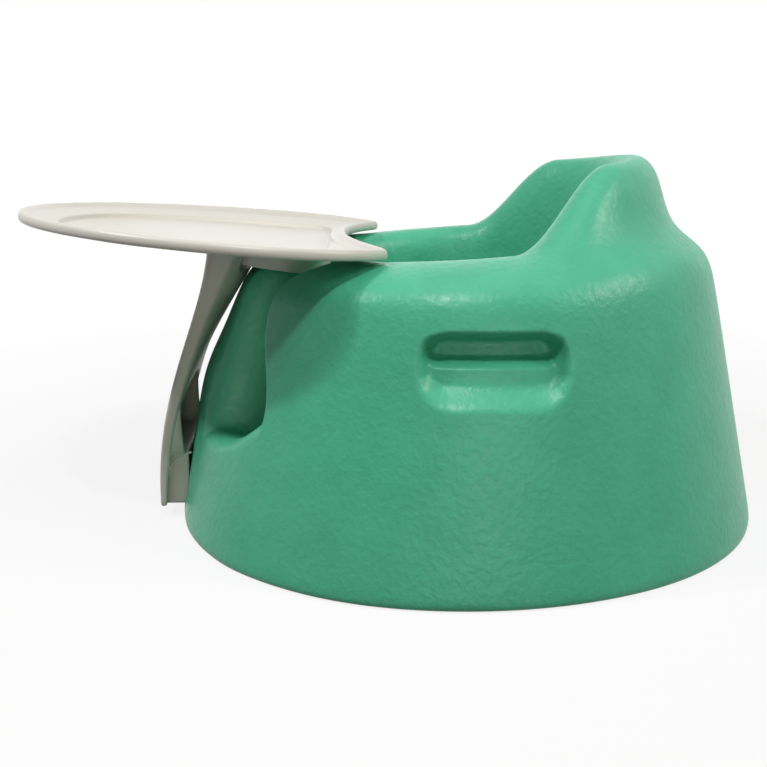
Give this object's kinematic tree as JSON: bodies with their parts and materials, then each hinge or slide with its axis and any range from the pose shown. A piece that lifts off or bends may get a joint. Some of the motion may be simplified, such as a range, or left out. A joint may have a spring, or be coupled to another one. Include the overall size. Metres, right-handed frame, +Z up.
{
  "type": "baby floor seat",
  "caption": "One-piece soft foam seat that stands on the floor, with a bowl, leg openings, a post between them and side grips, and a thin play tray that lifts off the post.",
  "frame": {"origin": "centre of the seat's underside, on the floor", "axes": "+Z up, +Y from the tray towards the backrest, +X across the seat"},
  "size_m": [0.3844, 0.4747, 0.2305],
  "materials": {
    "seat_foam": "satin, finely wrinkled skin",
    "tray_plastic": "satin",
    "screw_steel": "plain"
  },
  "bodies": {
    "seat": {"seat_body": "seat_foam"},
    "tray": {"tray_top": "tray_plastic", "post_collar": "tray_plastic", "front_leg": "tray_plastic", "collar_screws": "screw_steel", "leg_screws": "screw_steel"}
  },
  "joints": [
    {"name": "tray_lift", "type": "slide", "parent": "seat", "child": "tray", "axis": [0, 0, 1], "range_m": [0, 0.15]}
  ]
}
